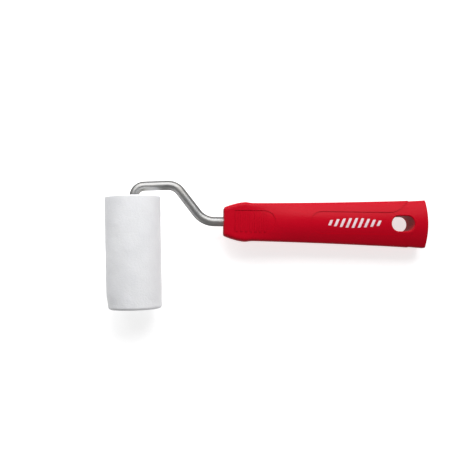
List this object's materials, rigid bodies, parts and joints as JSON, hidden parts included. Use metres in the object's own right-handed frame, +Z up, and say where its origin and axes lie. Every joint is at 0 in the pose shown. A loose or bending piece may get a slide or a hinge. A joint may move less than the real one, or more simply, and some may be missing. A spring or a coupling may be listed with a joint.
{
  "type": "paint roller",
  "caption": "Mini foam paint roller: a bent steel wire frame in a hollow moulded grip with a hanging hole, and a foam refill that pulls off a free-running spindle.",
  "frame": {"origin": "bottom centre of the box of the roller as it lies flat, resting on its foam sleeve and on the end of its grip", "axes": "+X along the grip, from the sleeve to the hanging hole; +Y along the roller's axle, towards the wire's crossbar; +Z up, square to the surface it lies on"},
  "size_m": [0.2182, 0.0872, 0.037],
  "materials": {
    "grip_plastic": "satin",
    "zinc_wire": "satin",
    "spring_steel": "satin",
    "spindle_plastic": "satin",
    "core_plastic": "matte",
    "white_foam": "matte"
  },
  "bodies": {
    "handle": {"handle_front_shell": "grip_plastic", "handle_back_shell": "grip_plastic", "wire_frame": "zinc_wire", "stop_washer": "spring_steel", "push_nut": "spring_steel"},
    "spindle": {"spindle": "spindle_plastic"},
    "refill": {"foam_cover": "white_foam", "core_tube": "core_plastic", "end_cap": "core_plastic"}
  },
  "joints": [
    {"name": "roller_spin", "type": "hinge", "parent": "handle", "child": "spindle", "pos_m": [-0.09057, 0.01602, 0.0185], "axis": [0, 1, 0], "continuous": true},
    {"name": "refill_pull", "type": "slide", "parent": "spindle", "child": "refill", "axis": [0, -1, 0], "range_m": [0, 0.08]}
  ]
}
